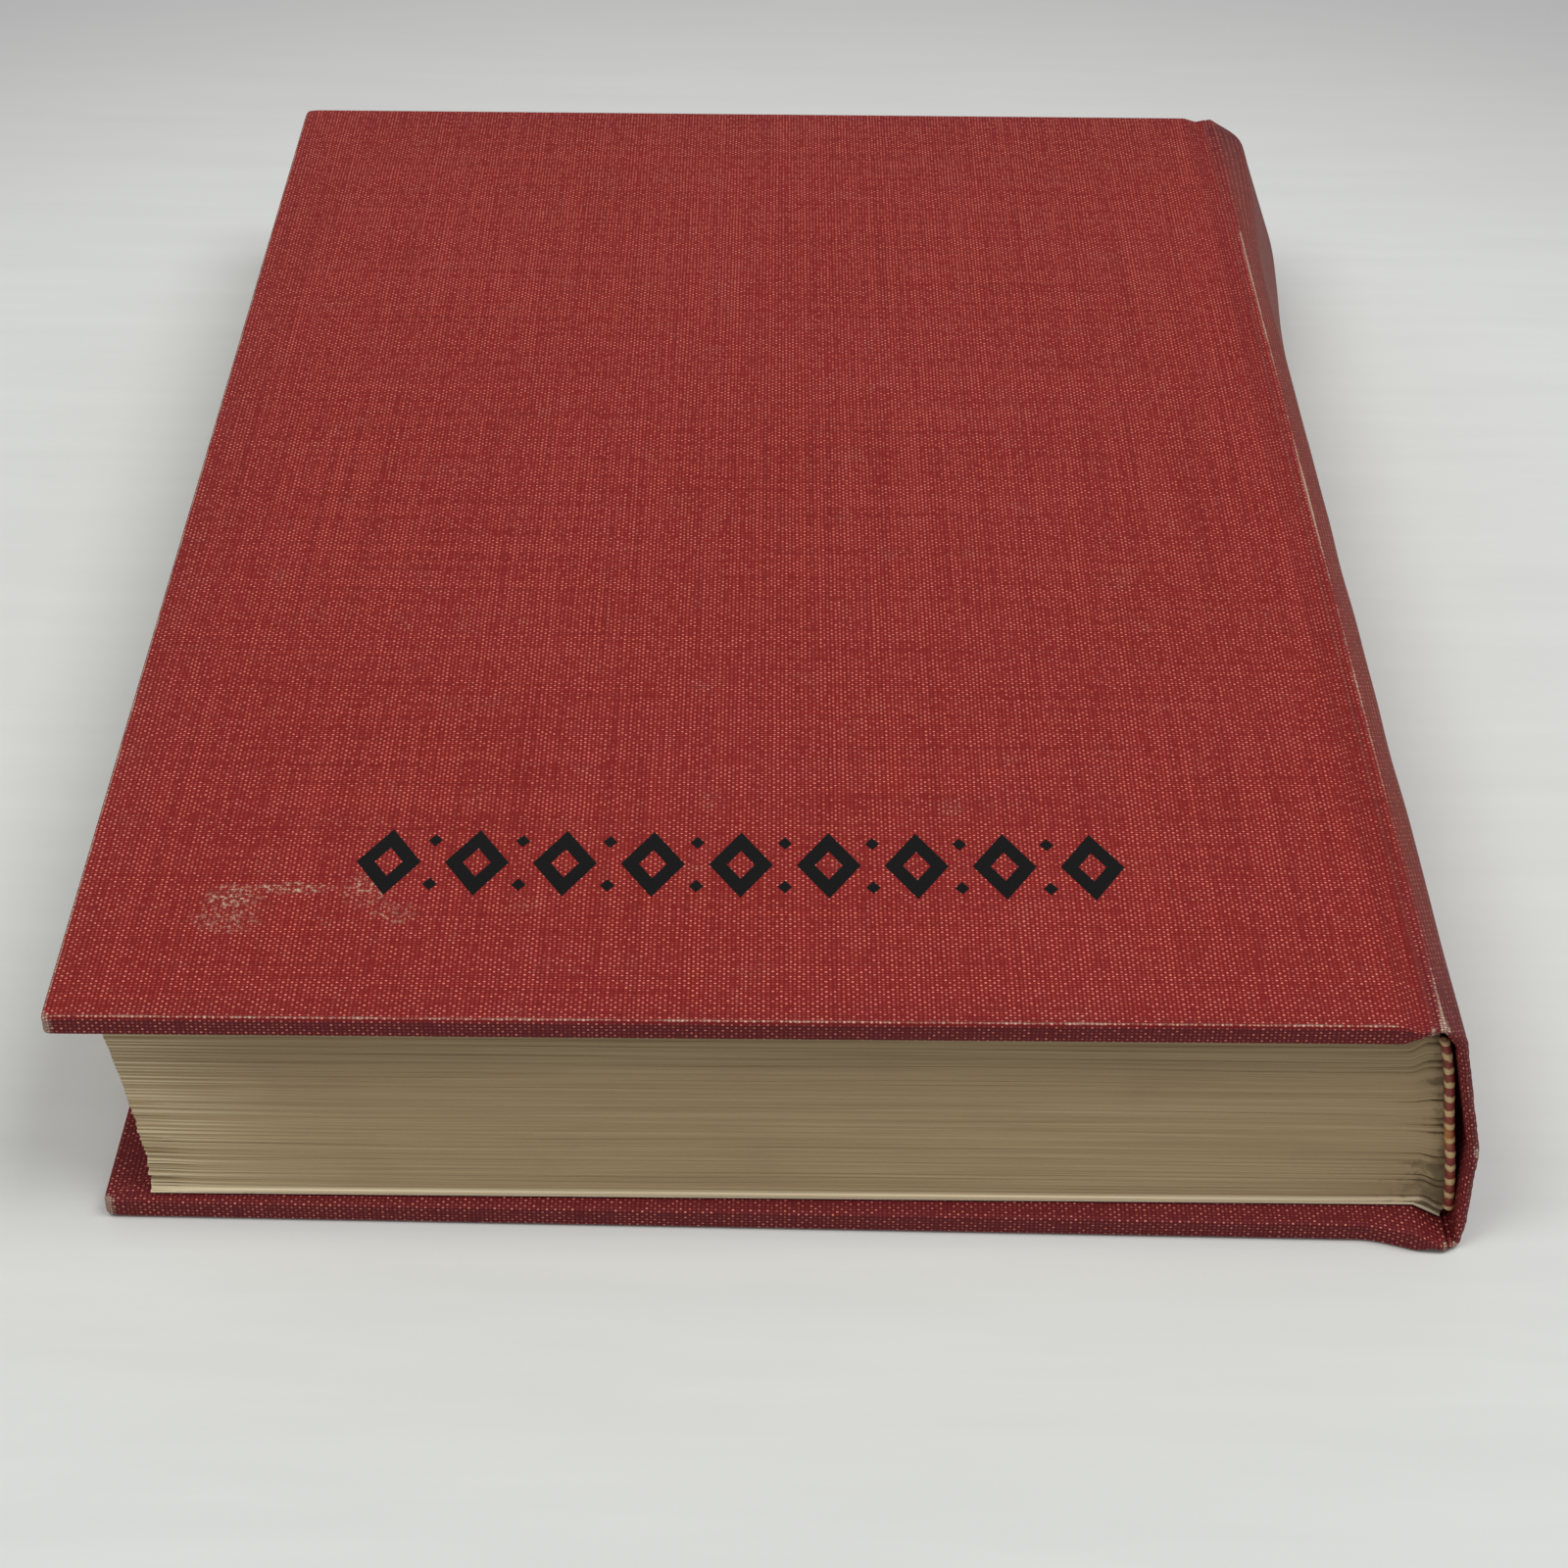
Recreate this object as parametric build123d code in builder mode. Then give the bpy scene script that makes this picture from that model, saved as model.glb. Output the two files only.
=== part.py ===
import os
from math import cos, radians, sin, tan

from build123d import *

# A cloth hardcover book lying closed on its back cover, in millimetres.
# The origin is the middle of the back cover's outer face, on the table.
# +X runs from the fore edge to the spine, +Y from the head to the tail, +Z up.
# Places in the book are given as u (from the fore edge), z (up from the table) and
# v (from the head). The functions lean() and section_plane() carry them into the leaning book.

# Text block, and the squares by which the covers are taller than the pages
page_height = 229.0
head_square = 2.7
tail_square = 3.3
fore_square = 5.4
pages_thickness = 22.7
fore_edge_hollow = 0.6
backing_start = 0.5
backing_rise = 1.7
backing_width = 3.3
back_round = 1.1
flyleaf_thickness = 0.15

# Case: two boards, a card inlay in the spine and the cloth over them
cover_width = 151.0
board_thickness = 2.0
cloth_thickness = 0.35
turn_in = 15.0
corner_radius = 1.6
edge_round = 0.55
inlay_thickness = 0.6
inlay_end_margin = 2.2

# Joint between a board and the spine: a shallow groove with the hinge line in it
hinge_from_board = 2.5
hinge_lift = 0.2
hinge_gap = 0.3
groove_depth = 0.9
groove_lip = 0.45
groove_round = 1.2
fold_inset = 0.1

# Spine strip: folds, a flat upper panel, a lengthwise crease and a flat lower panel
fold_from_board = 5.0
fold_round = 0.6
spine_shoulder_out = 2.9
spine_shoulder_drop = 1.9
spine_shoulder_round = 2.0
crease_out = 3.4
crease_height = 12.2
crease_round = 3.0
lower_fold_out = 0.6

# Sewing: kerfs sawn across the back, with thread in them
kerf_count = 6
kerf_width = 0.7
kerf_depth = 0.5
thread_width = 0.45
kettle_margin = 16.0
kerf_end_margin = 1.2

# Linings on the back of the block
mull_thickness = 0.22
mull_margin = 0.5
mull_end_margin = 0.4
mull_flange = 28.0
lining_thickness = 0.22
lining_margin = 4.0
lining_top_margin = 3.0

# Headbands: a bead on a tape
bead_radius = 0.62
bead_out = 0.25
bead_end_margin = 3.2
tape_thickness = 0.2
tape_width = 11.0

# Endpapers on the boards
paper_thickness = 0.15
paper_margin = 3.5
paper_dip = 0.12

# Ornament stamped in foil on the front cover
stamp_from_head = 27.9
stamp_from_fore_edge = 77.4
stamp_depth = 0.12
lozenge_count = 9
lozenge_pitch = 10.4
lozenge_width = 7.6
lozenge_height = 12.4
lozenge_window = 0.42
spark_width = 1.7
spark_height = 2.3
spark_rise = 4.1

# Clearances: bonded layers, and the covers against the block
glue = 0.02
page_gap = 0.1

# How the worn book leans: the front cover against the back cover
lean_x = -6.15
lean_y = 3.4
cover_twist = 0.945
head_slope = 0.16
head_skew = 0.014

cover_height = head_square + page_height + tail_square
cover_thickness = cloth_thickness + board_thickness + cloth_thickness + paper_thickness
flyleaf_level = cover_thickness + page_gap
pages_level = flyleaf_level + flyleaf_thickness + glue
book_thickness = 2 * pages_level + pages_thickness
hinge_u = cover_width + hinge_from_board
fold_u = cover_width + fold_from_board
spread_per_mm = tan(radians(cover_twist))
page_head = head_square
page_tail = head_square + page_height
mull_head = turn_in + mull_margin
mull_tail = cover_height - turn_in - mull_margin
whole_book = (0, cover_height)
middle = book_thickness / 2
back_half = middle - pages_level + backing_rise
back_tip_u = cover_width + backing_start + backing_width

os.makedirs("parts", exist_ok=True)


def lean(u, z, v):
    """The place in the leaning book of a point u, z, v of the squared-up book."""
    rise = min(max((z - cover_thickness) / (book_thickness - 2 * cover_thickness), 0), 1)
    x = u - cover_width / 2 + rise * (lean_x - spread_per_mm * (v - cover_height / 2))
    y = v - cover_height / 2 + head_slope * z + head_skew * (u - cover_width)
    return Vector(x, y, z)


def section_plane(v):
    """The plane of the book's section at v, which leans with the pages."""
    origin = lean(0, 0, v)
    across = lean(1, 0, v) - origin
    up = lean(0, 1, v) - origin
    return Plane(origin=origin, x_dir=across, z_dir=across.cross(up))


def on_section(v, points):
    """Points (u, z) as points of the section plane at v."""
    plane = section_plane(v)
    placed = [plane.to_local_coords(lean(u, z, v)) for u, z in points]
    return [(p.X, p.Y) for p in placed]


def back_arc(v, out, end_margin):
    """The block's rounded back, moved out towards the spine strip and cut short at both ends."""

    def at(height):
        bulge = back_round * (1 - (height / back_half) ** 2)
        return (back_tip_u + bulge + out, middle + height)

    whole = ThreePointArc(*on_section(v, [at(-back_half), at(0), at(back_half)]), mode=Mode.PRIVATE)
    cut = end_margin / (2 * back_half)
    stretch = whole.trim(cut, 1 - cut)
    add(stretch)
    return stretch


def back_band(v, inside, outside, end_margin):
    """The section at v of a layer on the block's back."""
    with BuildSketch(section_plane(v)) as band:
        with BuildLine():
            inner = back_arc(v, inside, end_margin)
            outer = back_arc(v, outside, end_margin)
            Line(inner @ 0, outer @ 0)
            Line(inner @ 1, outer @ 1)
        make_face()
    return band.sketch


def pages_section(v):
    """The section at v of the leaves, with a shoulder above and below the rounded back."""
    start_u = cover_width + backing_start
    low = pages_level
    high = book_thickness - pages_level
    with BuildSketch(section_plane(v)) as section:
        with BuildLine():
            back = back_arc(v, 0, 0)
            bottom = on_section(v, [(start_u, low), (fore_square, low)])
            top = on_section(v, [(fore_square, high), (start_u, high)])
            hollow = on_section(v, [(fore_square + fore_edge_hollow, middle)])[0]
            Polyline(back @ 0, *bottom)
            ThreePointArc(bottom[1], hollow, top[0])
            Polyline(*top, back @ 1)
        make_face()
    return section.sketch


def flyleaf_section(v, side):
    """The section at v of the leaf on top of the block (side 1) or under it (side -1)."""
    start_u = cover_width + backing_start
    flat = middle - flyleaf_level
    slope = backing_rise / backing_width
    reach = backing_width - flyleaf_thickness
    points = [
        (fore_square, middle + side * flat),
        (start_u - slope * flyleaf_thickness, middle + side * flat),
        (start_u + reach, middle + side * (flat + slope * reach)),
        (start_u + reach, middle + side * (flat + slope * reach - flyleaf_thickness)),
        (start_u, middle + side * (flat - flyleaf_thickness)),
        (fore_square, middle + side * (flat - flyleaf_thickness)),
    ]
    with BuildSketch(section_plane(v)) as section:
        with BuildLine():
            Polyline(*on_section(v, points), close=True)
        make_face()
    return section.sketch


def spine_outline(v):
    """The outside of the spine strip from one hinge line to the other, as a wire at v."""
    start_u = hinge_u + hinge_gap / 2
    points = [
        (start_u, book_thickness - groove_depth),
        (fold_u, book_thickness - fold_inset),
        (fold_u + spine_shoulder_out, book_thickness - spine_shoulder_drop),
        (fold_u + crease_out, crease_height),
        (fold_u + lower_fold_out, fold_inset),
        (start_u, groove_depth),
    ]
    radii = [fold_round, spine_shoulder_round, crease_round, fold_round]
    return FilletPolyline(*on_section(v, points), radius=radii)


def spine_region(v, depth):
    """The section between the spine strip's outside and a line this far inside it."""
    with BuildSketch(section_plane(v)) as region:
        with BuildLine():
            outline = spine_outline(v)
            offset(outline, amount=depth, side=Side.RIGHT, closed=True)
        make_face()
    return region.sketch


def trim(head_v, tail_v):
    """Cuts the piece being built down to the stretch between two sections."""
    split(bisect_by=section_plane(head_v), keep=Keep.BOTTOM)
    split(bisect_by=section_plane(tail_v), keep=Keep.TOP)


def spine_layer(near, far, head_v, tail_v):
    """A layer inside the spine strip, between two depths and two sections."""
    with BuildPart() as layer:
        loft([spine_region(v, far) for v in whole_book], ruled=True)
        loft([spine_region(v, near) for v in whole_book], ruled=True, mode=Mode.SUBTRACT)
        split(bisect_by=Plane.XY.offset(inlay_end_margin), keep=Keep.TOP)
        split(bisect_by=Plane.XY.offset(book_thickness - inlay_end_margin), keep=Keep.BOTTOM)
        trim(head_v, tail_v)
    return layer.part


def finish(piece, name):
    """Labels a finished piece and writes it out under its name."""
    piece.part.label = name
    export_step(piece.part, f"parts/{name}.step")


# Generic ornament for the front cover: lozenges with windows, and small ones between them
front_frame = Plane(
    origin=(lean_x, lean_y, book_thickness),
    x_dir=(cos(radians(cover_twist)), sin(radians(cover_twist)), 0),
    z_dir=(0, 0, 1),
)
back_frame = Plane(origin=(0, 0, 0), x_dir=(1, 0, 0), z_dir=(0, 0, -1))
stamp_place = Location((stamp_from_fore_edge - cover_width / 2, stamp_from_head - cover_height / 2))

with BuildSketch(front_frame) as ornament:
    with Locations(stamp_place):
        with GridLocations(lozenge_pitch, 0, lozenge_count, 1):
            for scale_down, mode in ((1, Mode.ADD), (lozenge_window, Mode.SUBTRACT)):
                x = scale_down * lozenge_width / 2
                y = scale_down * lozenge_height / 2
                Polygon((-x, 0), (0, -y), (x, 0), (0, y), mode=mode)
        with GridLocations(lozenge_pitch, 2 * spark_rise, lozenge_count - 1, 2):
            x = spark_width / 2
            y = spark_height / 2
            Polygon((-x, 0), (0, -y), (x, 0), (0, y))

# The two covers are alike: cloth over a board, a mull flange and a pastedown inside
for side, frame in (("front", front_frame), ("back", back_frame)):
    board_level = cloth_thickness + board_thickness
    lining_level = board_level + cloth_thickness

    with BuildPart() as board:
        with BuildSketch(frame.offset(-board_level)):
            inset = cloth_thickness + glue
            with Locations((inset / 2, 0)):
                Rectangle(cover_width - inset, cover_height - 2 * inset)
            fillet(vertices().group_by(Axis.X)[0], corner_radius - inset)
        extrude(amount=board_thickness)
    finish(board, f"{side}_board")

    with BuildPart() as cloth:
        with BuildSketch(frame.offset(-lining_level)):
            Rectangle(cover_width, cover_height)
            fillet(vertices().group_by(Axis.X)[0], corner_radius)
        extrude(amount=lining_level)
        outer_face = faces().sort_by(Axis(frame.origin, frame.z_dir))[-1]
        outer_edges = outer_face.edges().sort_by(Axis(frame.origin, frame.x_dir))
        fillet(outer_edges[:-1], edge_round)
        with BuildSketch(frame.offset(-board_level)):
            with Locations((cloth_thickness / 2, 0)):
                Rectangle(cover_width - cloth_thickness, cover_height - 2 * cloth_thickness)
            fillet(vertices().group_by(Axis.X)[0], corner_radius - cloth_thickness)
        extrude(amount=board_thickness, mode=Mode.SUBTRACT)
        with BuildSketch(frame.offset(-lining_level)):
            with Locations((turn_in / 2, 0)):
                Rectangle(cover_width - turn_in, cover_height - 2 * turn_in)
        extrude(amount=cloth_thickness, mode=Mode.SUBTRACT)
        groove_plane = Plane(
            origin=frame.origin + frame.y_dir * (cover_height / 2), x_dir=frame.x_dir, z_dir=frame.y_dir
        )
        edge_x = cover_width / 2
        with BuildSketch(groove_plane):
            with BuildLine():
                outline = FilletPolyline(
                    (edge_x - groove_round, 0),
                    (edge_x + groove_lip, 0),
                    (edge_x + hinge_from_board - hinge_gap / 2, groove_depth),
                    radius=groove_round,
                )
                offset(outline, amount=cloth_thickness, side=Side.LEFT, closed=True)
            make_face()
        extrude(amount=-cover_height)
        if side == "front":
            extrude(ornament.sketch, amount=-stamp_depth, mode=Mode.SUBTRACT)
    finish(cloth, f"{side}_cover_cloth")

    with BuildPart() as flange:
        with BuildSketch(frame.offset(-board_level)):
            with Locations(((cover_width - mull_flange) / 2, 0)):
                Rectangle(mull_flange, mull_tail - mull_head)
        extrude(amount=-mull_thickness)
    finish(flange, f"{side}_mull_flange")

    with BuildPart() as pastedown:
        with BuildSketch(frame.offset(-lining_level)):
            with Locations((paper_margin / 2, 0)):
                Rectangle(cover_width - paper_margin, cover_height - 2 * paper_margin)
        extrude(amount=-paper_thickness)
        with BuildSketch(frame.offset(-board_level)):
            inset = turn_in + glue
            with Locations((inset / 2, 0)):
                Rectangle(cover_width - inset, cover_height - 2 * inset)
        extrude(amount=-cloth_thickness)
        with BuildSketch(frame.offset(-board_level)):
            inset = mull_flange + glue
            with Locations(((cover_width - inset) / 2, 0)):
                Rectangle(inset, mull_tail - mull_head + 2 * glue)
        extrude(amount=-mull_thickness, mode=Mode.SUBTRACT)
        with BuildSketch(frame.offset(-lining_level - paper_thickness)):
            inset = turn_in + paper_margin
            with Locations((inset / 2, 0)):
                Rectangle(cover_width - inset, cover_height - 2 * inset)
        extrude(amount=paper_dip, mode=Mode.SUBTRACT)
    finish(pastedown, f"{side}_pastedown")

with BuildPart() as title_stamp:
    extrude(ornament.sketch, amount=-stamp_depth)
finish(title_stamp, "title_stamp")

# The text block: leaves, sewing and what is glued to the back
kerf_run = page_height - 2 * kettle_margin
kerf_places = [page_head + kettle_margin + i * kerf_run / (kerf_count - 1) for i in range(kerf_count)]

with BuildPart() as pages:
    loft([pages_section(v) for v in whole_book], ruled=True)
    trim(page_head, page_tail)
    for place in kerf_places:
        ends = (place - kerf_width / 2, place + kerf_width / 2)
        cut = [back_band(v, -kerf_depth, kerf_depth, kerf_end_margin) for v in ends]
        loft(cut, ruled=True, mode=Mode.SUBTRACT)
finish(pages, "pages")

with BuildPart() as sewing_threads:
    for place in kerf_places:
        ends = (place - thread_width / 2, place + thread_width / 2)
        loft([back_band(v, glue - kerf_depth, -glue, kerf_end_margin + glue) for v in ends], ruled=True)
finish(sewing_threads, "sewing_threads")

for side, direction in (("front", 1), ("back", -1)):
    with BuildPart() as flyleaf:
        loft([flyleaf_section(v, direction) for v in whole_book], ruled=True)
        trim(page_head, page_tail)
    finish(flyleaf, f"{side}_flyleaf")

with BuildPart() as mull:
    loft([back_band(v, glue, glue + mull_thickness, mull_end_margin) for v in whole_book], ruled=True)
    trim(mull_head, mull_tail)
finish(mull, "mull")

with BuildPart() as spine_lining:
    near = mull_thickness + 2 * glue
    far = near + lining_thickness
    loft([back_band(v, near, far, lining_top_margin) for v in whole_book], ruled=True)
    trim(page_head + lining_margin, page_tail - lining_margin)
finish(spine_lining, "spine_lining")

for side, edge, outward in (("head", page_head, -1), ("tail", page_tail, 1)):
    bead_place = edge + outward * (bead_radius + glue)
    with BuildPart() as headband:
        loft([back_band(v, glue, glue + tape_thickness, bead_end_margin) for v in whole_book], ruled=True)
        trim(*sorted((bead_place, edge - outward * tape_width)))
        with BuildLine(section_plane(bead_place)) as bead_path:
            back_arc(bead_place, bead_out, bead_end_margin)
        with BuildSketch(Plane(origin=bead_path.line @ 0, z_dir=bead_path.line % 0)):
            Circle(bead_radius)
        sweep(path=bead_path.line)
    finish(headband, f"headband_{side}")

# The spine: a card inlay inside the cloth, which is turned in over its head and tail
inlay_near = cloth_thickness + glue
inlay_far = inlay_near + inlay_thickness

with BuildPart() as spine_inlay:
    add(spine_layer(inlay_near, inlay_far, inlay_near, cover_height - inlay_near))
finish(spine_inlay, "spine_inlay")

with BuildPart() as spine_cloth:
    loft([spine_region(v, cloth_thickness) for v in whole_book], ruled=True)
    fold_near = inlay_far + glue
    fold_far = fold_near + cloth_thickness
    for edge, inward in ((0, 1), (cover_height, -1)):
        cap_ends = sorted((edge, edge + inward * cloth_thickness))
        add(spine_layer(cloth_thickness / 2, fold_far, *cap_ends))
        turn_ends = sorted((edge, edge + inward * turn_in))
        add(spine_layer(fold_near, fold_far, *turn_ends))
finish(spine_cloth, "spine_cloth")
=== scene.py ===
# %% [markdown]
# # A worn cloth hardcover, lying on its back cover
#
# This lesson dresses a hardcover book. The frame brings its solids: two boards, the leaves, the sewing
# and the case. The cloth, the leaves' edges and the headbands are made again here as fine surfaces,
# because the solids are too plain for their weave, their steps and their wear.
#
# Each surface is a function of two numbers on a grid. The grid keeps its flat size in millimetres as
# its UV map, so that a weave follows the cloth round the board's edge.

import math

import bmesh
import bpy
import numpy as np
from mathutils import Matrix, Vector


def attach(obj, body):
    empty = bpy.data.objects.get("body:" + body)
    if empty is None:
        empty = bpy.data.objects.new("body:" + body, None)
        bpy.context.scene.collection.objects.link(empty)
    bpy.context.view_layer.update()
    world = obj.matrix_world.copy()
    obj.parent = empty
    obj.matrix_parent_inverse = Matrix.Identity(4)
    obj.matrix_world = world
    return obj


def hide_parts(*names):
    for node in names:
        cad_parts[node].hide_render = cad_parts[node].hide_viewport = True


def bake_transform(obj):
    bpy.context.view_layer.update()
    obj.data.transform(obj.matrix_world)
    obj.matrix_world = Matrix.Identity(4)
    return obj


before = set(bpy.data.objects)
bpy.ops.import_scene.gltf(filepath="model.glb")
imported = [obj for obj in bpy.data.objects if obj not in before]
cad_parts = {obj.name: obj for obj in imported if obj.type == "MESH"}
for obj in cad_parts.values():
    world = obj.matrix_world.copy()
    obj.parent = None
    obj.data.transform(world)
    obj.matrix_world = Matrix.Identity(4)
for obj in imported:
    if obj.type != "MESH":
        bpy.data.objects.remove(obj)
scene = bpy.context.scene
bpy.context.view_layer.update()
print("the frame's nodes:", sorted(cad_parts))

# %% [markdown]
# ## The book's own measure
#
# Places in the book are u, from the fore edge towards the spine, v, from the head to the tail, and z, up
# from the table. The book has slumped: its front cover lies shifted and a little turned over the back
# cover, and the leaves lean towards the tail. The function lean() carries u, z, v to the leaning book.

# %% Sizes in millimetres
MILLIMETRE = 0.001
PER_METRE = 1000.0
COVER_WIDTH = 151.0
COVER_HEIGHT = 235.0
COVER_THICKNESS = 2.85
CASE_DEPTH = 2.7
BOOK_THICKNESS = 28.94
MIDDLE = BOOK_THICKNESS / 2
PAGE_HEAD = 2.7
PAGE_TAIL = 231.7
PAGE_HEIGHT = 229.0
PAGES_LEVEL = 3.12
PAGES_HALF = MIDDLE - PAGES_LEVEL
FORE_SQUARE = 5.4
FLAT_END = 149.0
GROOVE_U = 153.5
BACK_TIP_U = 154.8
BACK_ROUND = 1.1
BACK_HALF = 13.05
LEAN_X = -6.15
LEAN_Y = 3.4
TWIST = math.radians(0.945)
SPREAD = math.tan(TWIST)
HEAD_SLOPE = 0.16
HEAD_SKEW = 0.014


def grid(*values):
    """Arrays of matching shapes, side by side in one more axis: a grid of points, places or masks."""
    return np.stack(np.broadcast_arrays(*values), -1)


def lean(u, z, v):
    """Squared-up u, z, v to the leaning book: x shifts with the height by the front cover's shift and
    turn, and y by the slope of the leaves."""
    rise = np.clip((z - COVER_THICKNESS) / (BOOK_THICKNESS - 2 * COVER_THICKNESS), 0, 1)
    x = u - COVER_WIDTH / 2 + rise * (LEAN_X - SPREAD * (v - COVER_HEIGHT / 2))
    y = v - COVER_HEIGHT / 2 + HEAD_SLOPE * z + HEAD_SKEW * (u - COVER_WIDTH)
    return grid(x, y, z)


def on_front(u, depth, v):
    """A point of the front cover: turned by the twist about its middle, and depth below its face."""
    x, y = u - COVER_WIDTH / 2, v - COVER_HEIGHT / 2
    turned_x = LEAN_X + x * math.cos(TWIST) - y * math.sin(TWIST)
    turned_y = LEAN_Y + x * math.sin(TWIST) + y * math.cos(TWIST)
    return grid(turned_x, turned_y, BOOK_THICKNESS - depth)


def on_back(u, depth, v):
    """A point of the back cover, which lies square to the table: depth is its height."""
    return grid(u - COVER_WIDTH / 2, v - COVER_HEIGHT / 2, depth)


def to_end(v):
    """How far a place is from the nearer end of the cover, head or tail."""
    return np.minimum(v, COVER_HEIGHT - v)


def mirrored(head, middle):
    """A row of places: those near the head, the middle ones, and the first again from the tail."""
    return np.concatenate([head, middle, COVER_HEIGHT - head[::-1]])


print("the book is", COVER_WIDTH, "by", COVER_HEIGHT, "by", BOOK_THICKNESS, "mm")

# %% [markdown]
# ## Soft steps, bells and ripples
#
# Nothing on a worn book starts or stops at a line. Four functions shape every swell and every mark.


# %% Soft functions of a length
def smooth(value, low, high):
    """0 below low and 1 above high, with a soft S between them."""
    share = np.clip((value - low) / (high - low), 0, 1)
    return share * share * (3 - 2 * share)


def bell(value, width):
    """1 where the value is 0, and less on both sides: e to the minus square of value over width."""
    return np.exp(-((value / width) ** 2))


def fade(value, length):
    """1 where the value is 0, and less and less beyond: e to the minus value over length."""
    return np.exp(-value / length)


def ripple(x, y, longest, seed):
    """A calm random height between about -1 and 1: a sum of sine waves of random heading and phase."""
    random = np.random.default_rng(seed)
    waves = random.random((7, 3))
    total = np.zeros(np.broadcast(x, y).shape)
    for turn, shift, shrink in waves:
        heading = turn * 2 * math.pi
        pitch = longest * (0.3 + 0.7 * shrink)
        along = (x * math.cos(heading) + y * math.sin(heading)) / pitch
        total += np.sin(2 * math.pi * (along + shift))
    return total / math.sqrt(len(waves))


print("a bell of width 1 falls to half at", round(math.sqrt(math.log(2)), 2))

# %% [markdown]
# ## From arrays to a mesh
#
# A grid of points becomes a mesh in one go: its faces are four shifted copies of the grid of numbers.
# Several grids may share one mesh, and points that meet are welded. The UV map holds millimetres of
# flat cloth. A colour attribute named marks holds three masks: on cloth wear, with a painted highlight
# on the edges' rounding; sunning; and soiling, with painted shade on the board's edge faces.

# %% Grids, patches and pieces
WELD = 1e-6


def patch(points, flat, marks=None, flip=False, keep=None):
    """A grid (rows, columns, 3) with its flat places (rows, columns, 2), masks and the kept quads."""
    rows, columns = points.shape[:2]
    number = np.arange(rows * columns).reshape(rows, columns)
    ring = [number[:-1, :-1], number[1:, :-1], number[1:, 1:], number[:-1, 1:]]
    quads = np.stack(ring[::-1] if flip else ring, -1)
    quads = quads[keep] if keep is not None else quads.reshape(-1, 4)
    if marks is None:
        marks = np.zeros((rows, columns, 3))
    return points.reshape(-1, 3), flat.reshape(-1, 2), marks.reshape(-1, 3), quads


def make_piece(name, patches, soft=True):
    """One mesh from several patches, in metres, with its UV map and masks."""
    counts = np.cumsum([0] + [len(p[0]) for p in patches])
    points, flat, marks = (np.concatenate([p[k] for p in patches]) for k in range(3))
    points = points * MILLIMETRE
    quads = np.concatenate([p[3] + start for p, start in zip(patches, counts)])
    mesh = bpy.data.meshes.new(name)
    mesh.vertices.add(len(points))
    mesh.vertices.foreach_set("co", points.ravel())
    mesh.loops.add(quads.size)
    mesh.loops.foreach_set("vertex_index", quads.ravel().astype(np.int32))
    mesh.polygons.add(len(quads))
    mesh.polygons.foreach_set("loop_start", np.arange(0, quads.size, 4, dtype=np.int32))
    mesh.polygons.foreach_set("use_smooth", np.full(len(quads), soft))
    mesh.update(calc_edges=True)
    layer = mesh.uv_layers.new(name="flat")
    layer.data.foreach_set("uv", flat[quads.ravel()].astype(np.float32).ravel())
    colours = np.concatenate([marks, np.ones((len(marks), 1))], 1)
    attribute = mesh.attributes.new("marks", "FLOAT_COLOR", "POINT")
    attribute.data.foreach_set("color", colours.astype(np.float32).ravel())
    shell = bmesh.new()
    shell.from_mesh(mesh)
    bmesh.ops.remove_doubles(shell, verts=shell.verts, dist=WELD)
    loose = [point for point in shell.verts if not point.link_faces]
    bmesh.ops.delete(shell, geom=loose, context="VERTS")
    shell.to_mesh(mesh)
    shell.free()
    piece = bpy.data.objects.new(name, mesh)
    scene.collection.objects.link(piece)
    print(name, "has", sum(len(face.vertices) - 2 for face in mesh.polygons), "triangles")
    return piece


def spaced(stops, steps):
    """Places from stop to stop, each stretch in its own number of even steps."""
    stretches = [np.linspace(a, b, n, endpoint=False) for a, b, n in zip(stops, stops[1:], steps)]
    return np.concatenate(stretches + [np.array([stops[-1]], float)])


def rounded_path(corners, radii, step):
    """A polyline whose corners are rounded by arcs that touch both sides, as even points, with the
    length so far and the direction at each point."""
    corners = np.array(corners, float)
    runs = [corners[:1]]
    for before, corner, after, radius in zip(corners, corners[1:], corners[2:], radii):
        a = (before - corner) / np.linalg.norm(before - corner)
        b = (after - corner) / np.linalg.norm(after - corner)
        half = np.arccos(np.clip(a @ b, -1, 1)) / 2
        centre = corner + (a + b) / np.linalg.norm(a + b) * radius / np.sin(half)
        start = corner + a * radius / np.tan(half) - centre
        end = corner + b * radius / np.tan(half) - centre
        share = np.linspace(0, 1, 13)[:, None]
        swept = math.pi - 2 * half
        arc = (start * np.sin((1 - share) * swept) + end * np.sin(share * swept)) / np.sin(swept)
        runs.append(centre + arc)
    runs.append(corners[-1:])
    rough = np.concatenate(runs)
    length = np.concatenate([[0], np.cumsum(np.linalg.norm(np.diff(rough, axis=0), axis=1))])
    even = np.linspace(0, length[-1], int(length[-1] / step) + 1)
    points = np.stack([np.interp(even, length, rough[:, k]) for k in (0, 1)], -1)
    heading = np.gradient(points, axis=0)
    return points, even, heading / np.linalg.norm(heading, axis=1)[:, None]
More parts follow.
